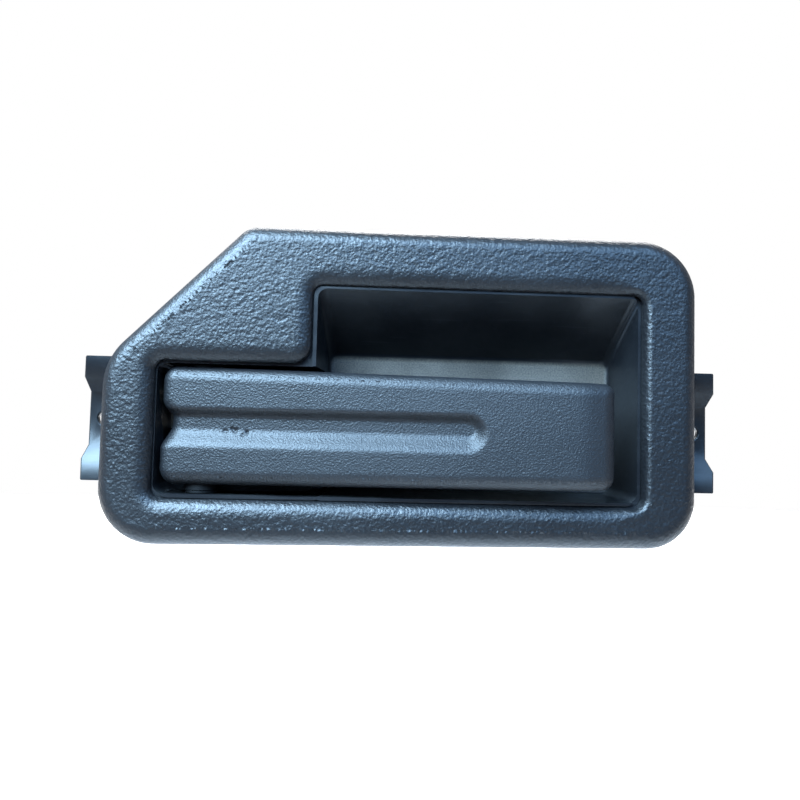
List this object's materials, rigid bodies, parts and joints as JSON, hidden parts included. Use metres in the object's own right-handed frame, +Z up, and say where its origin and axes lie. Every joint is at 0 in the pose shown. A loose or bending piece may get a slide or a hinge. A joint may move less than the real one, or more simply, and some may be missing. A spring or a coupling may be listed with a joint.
{
  "type": "car door handle",
  "caption": "Interior pull handle for a vehicle door: grained bezel, finger cup, swinging lever, and a crank behind that pulls a release rod.",
  "frame": {"origin": "midpoint of the two ear holes, on the face of the ears that sits against the door", "axes": "+X along the lever towards its free end, +Y into the door, +Z up"},
  "size_m": [0.2, 0.056, 0.0979],
  "materials": {
    "grained_plastic": "black moulded plastic with a coarse pebble grain",
    "lever_plastic": "black moulded plastic with a fine grain, polished by use",
    "cup_plastic": "smooth satin black plastic with dust and light scratches",
    "carrier_plastic": "black glass-filled plastic, dull",
    "bearing_plastic": "black bearing plastic, satin",
    "clip_plastic": "off-white moulded plastic, satin",
    "plated_steel": "pressed sheet steel with a pale yellow zinc finish",
    "bright_steel": "turned and ground steel, bright",
    "screw_steel": "zinc-plated screw steel",
    "spring_steel": "oiled dark spring steel",
    "buffer_rubber": "black rubber, dull"
  },
  "bodies": {
    "housing": {"bezel": "grained_plastic", "bezel_clips": "spring_steel", "housing": "cup_plastic", "hinge_pin": "bright_steel", "hinge_clip": "spring_steel", "crank_bracket": "plated_steel", "bracket_screws": "screw_steel", "crank_stud": "bright_steel", "crank_washer": "screw_steel", "crank_clip": "spring_steel", "return_spring": "spring_steel", "rest_buffer": "buffer_rubber", "travel_buffer": "buffer_rubber"},
    "lever": {"lever_shell": "lever_plastic", "lever_carrier": "carrier_plastic", "lever_screws": "screw_steel", "hinge_bush_upper": "bearing_plastic", "hinge_bush_lower": "bearing_plastic", "ball_stud": "bright_steel"},
    "crank": {"bell_crank": "plated_steel", "crank_bush": "bearing_plastic"},
    "rod_clip": {"rod_clip": "clip_plastic"}
  },
  "joints": [
    {"name": "lever_hinge", "type": "hinge", "parent": "housing", "child": "lever", "pos_m": [-0.0625, -0.0085, 0], "axis": [0, 0, -1], "range_deg": [0, 24], "stiffness_Nm_per_rad": 0.35, "springref_deg": -14.9},
    {"name": "crank_pivot", "type": "hinge", "parent": "housing", "child": "crank", "pos_m": [-0.0625, 0.01722, 0.03], "axis": [0, -1, 0], "range_deg": [0, 23.6], "deforming": ["return_spring"]},
    {"name": "rod_clip_swivel", "type": "hinge", "parent": "crank", "child": "rod_clip", "pos_m": [-0.03704, 0.02412, 0.02471], "axis": [0, -1, 0], "range_deg": [-23.6, 0]}
  ],
  "couplings": [
    {"joint": "crank_pivot", "follows": "lever_hinge", "ratio": 0.97876},
    {"joint": "rod_clip_swivel", "follows": "lever_hinge", "ratio": -0.97876}
  ]
}
